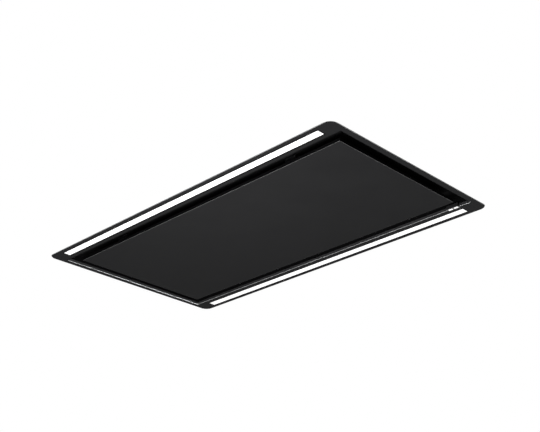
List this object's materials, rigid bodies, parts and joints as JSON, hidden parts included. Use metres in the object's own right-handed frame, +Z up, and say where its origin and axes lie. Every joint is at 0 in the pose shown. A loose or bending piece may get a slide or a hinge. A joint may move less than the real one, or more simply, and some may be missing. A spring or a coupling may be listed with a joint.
{
  "type": "ceiling range hood",
  "caption": "Recessed ceiling range hood with a flush drop-down centre panel, perimeter suction gap, two light strips, grease filters and a flat blower.",
  "frame": {"origin": "centre of the frame's underside, at the ceiling's face", "axes": "+Z up into the ceiling, +X along the long side towards the outlet, +Y towards the panel hinge and the keys"},
  "size_m": [1, 0.567, 0.16],
  "materials": {
    "black_enamel": "matt black powder coat",
    "opal": "opal, lit from behind",
    "aluminium": "satin mill finish",
    "galvanised": "galvanised sheet",
    "zinc": "bright zinc plate",
    "steel": "ground steel",
    "core": "stacked core sheets",
    "copper": "enamelled copper wire",
    "magnet": "nickel plate",
    "motor_paint": "dark paint",
    "black_plastic": "fine texture",
    "grey_plastic": "moulded",
    "dark_plastic": "moulded",
    "white_plastic": "moulded",
    "board": "green solder mask",
    "rubber": "matt",
    "foam": "closed-cell foam"
  },
  "bodies": {
    "hood": {"flange_frame": "black_enamel", "ceiling_seal": "foam", "led_diffusers": "opal", "led_profiles": "aluminium", "led_boards": "board", "led_end_caps": "black_plastic", "hinge_brackets": "galvanised", "hinge_pins": "zinc", "magnet_holders": "black_plastic", "magnets": "magnet", "intake_deck": "black_enamel", "deck_rails": "black_enamel", "filter_frames": "aluminium", "filter_meshes": "aluminium", "hanging_brackets": "galvanised", "scroll_gasket": "foam", "inlet_ring": "galvanised", "scroll_housing": "galvanised", "scroll_cover": "galvanised", "motor_stator": "core", "stator_coils": "copper", "motor_bearings": "steel", "motor_cup": "motor_paint", "motor_shield": "motor_paint", "motor_bracket": "galvanised", "rubber_mounts": "rubber", "motor_box": "galvanised", "outlet_spigot": "black_plastic", "control_box": "galvanised", "control_cover": "galvanised", "circuit_board": "board", "board_components": "dark_plastic", "motor_capacitor": "white_plastic", "terminal_block": "white_plastic", "cable_gland": "grey_plastic", "lead_grommets": "rubber", "motor_lead": "grey_plastic", "led_driver": "white_plastic", "plenum_box": "galvanised", "key_housing": "black_plastic", "key_board": "board", "casing_screws": "zinc", "frame_nuts": "zinc"},
    "panel": {"panel_tray": "black_enamel", "panel_stiffeners": "galvanised", "hinge_arms": "galvanised", "panel_nuts": "zinc", "strike_plates": "galvanised"},
    "catch_left": {"filter_catch_left": "black_plastic"},
    "catch_right": {"filter_catch_right": "black_plastic"},
    "rotor": {"impeller_plate": "aluminium", "impeller_blades": "aluminium", "impeller_ring": "aluminium", "impeller_nut": "zinc", "motor_shaft": "steel", "motor_rotor": "core"},
    "flap_upper": {"flap_upper": "grey_plastic"},
    "flap_lower": {"flap_lower": "grey_plastic"},
    "key_light": {"key_light": "opal"},
    "key_fan": {"key_fan": "opal"}
  },
  "joints": [
    {"name": "panel_hinge", "type": "hinge", "parent": "hood", "child": "panel", "pos_m": [0, 0.196, 0.012], "axis": [1, 0, 0], "range_deg": [0, 90]},
    {"name": "blower_spin", "type": "hinge", "parent": "hood", "child": "rotor", "pos_m": [0, 0, 0.1], "axis": [0, 0, 1], "continuous": true},
    {"name": "upper_flap_swing", "type": "hinge", "parent": "hood", "child": "flap_upper", "pos_m": [0.348, -0.0885, 0.1514], "axis": [0, -1, 0], "range_deg": [0, 80]},
    {"name": "lower_flap_swing", "type": "hinge", "parent": "hood", "child": "flap_lower", "pos_m": [0.348, -0.0885, 0.1117], "axis": [0, -1, 0], "range_deg": [0, 80]},
    {"name": "light_key_press", "type": "slide", "parent": "hood", "child": "key_light", "axis": [0, 0, 1], "range_m": [0, 0.0008], "stiffness_N_per_m": 500, "springref_m": -0.001},
    {"name": "fan_key_press", "type": "slide", "parent": "hood", "child": "key_fan", "axis": [0, 0, 1], "range_m": [0, 0.0008], "stiffness_N_per_m": 500, "springref_m": -0.001},
    {"name": "left_catch_slide", "type": "slide", "parent": "hood", "child": "catch_left", "axis": [0, 1, 0], "range_m": [0, 0.0062], "stiffness_N_per_m": 300, "springref_m": -0.002},
    {"name": "right_catch_slide", "type": "slide", "parent": "hood", "child": "catch_right", "axis": [0, 1, 0], "range_m": [0, 0.0062], "stiffness_N_per_m": 300, "springref_m": -0.002}
  ]
}
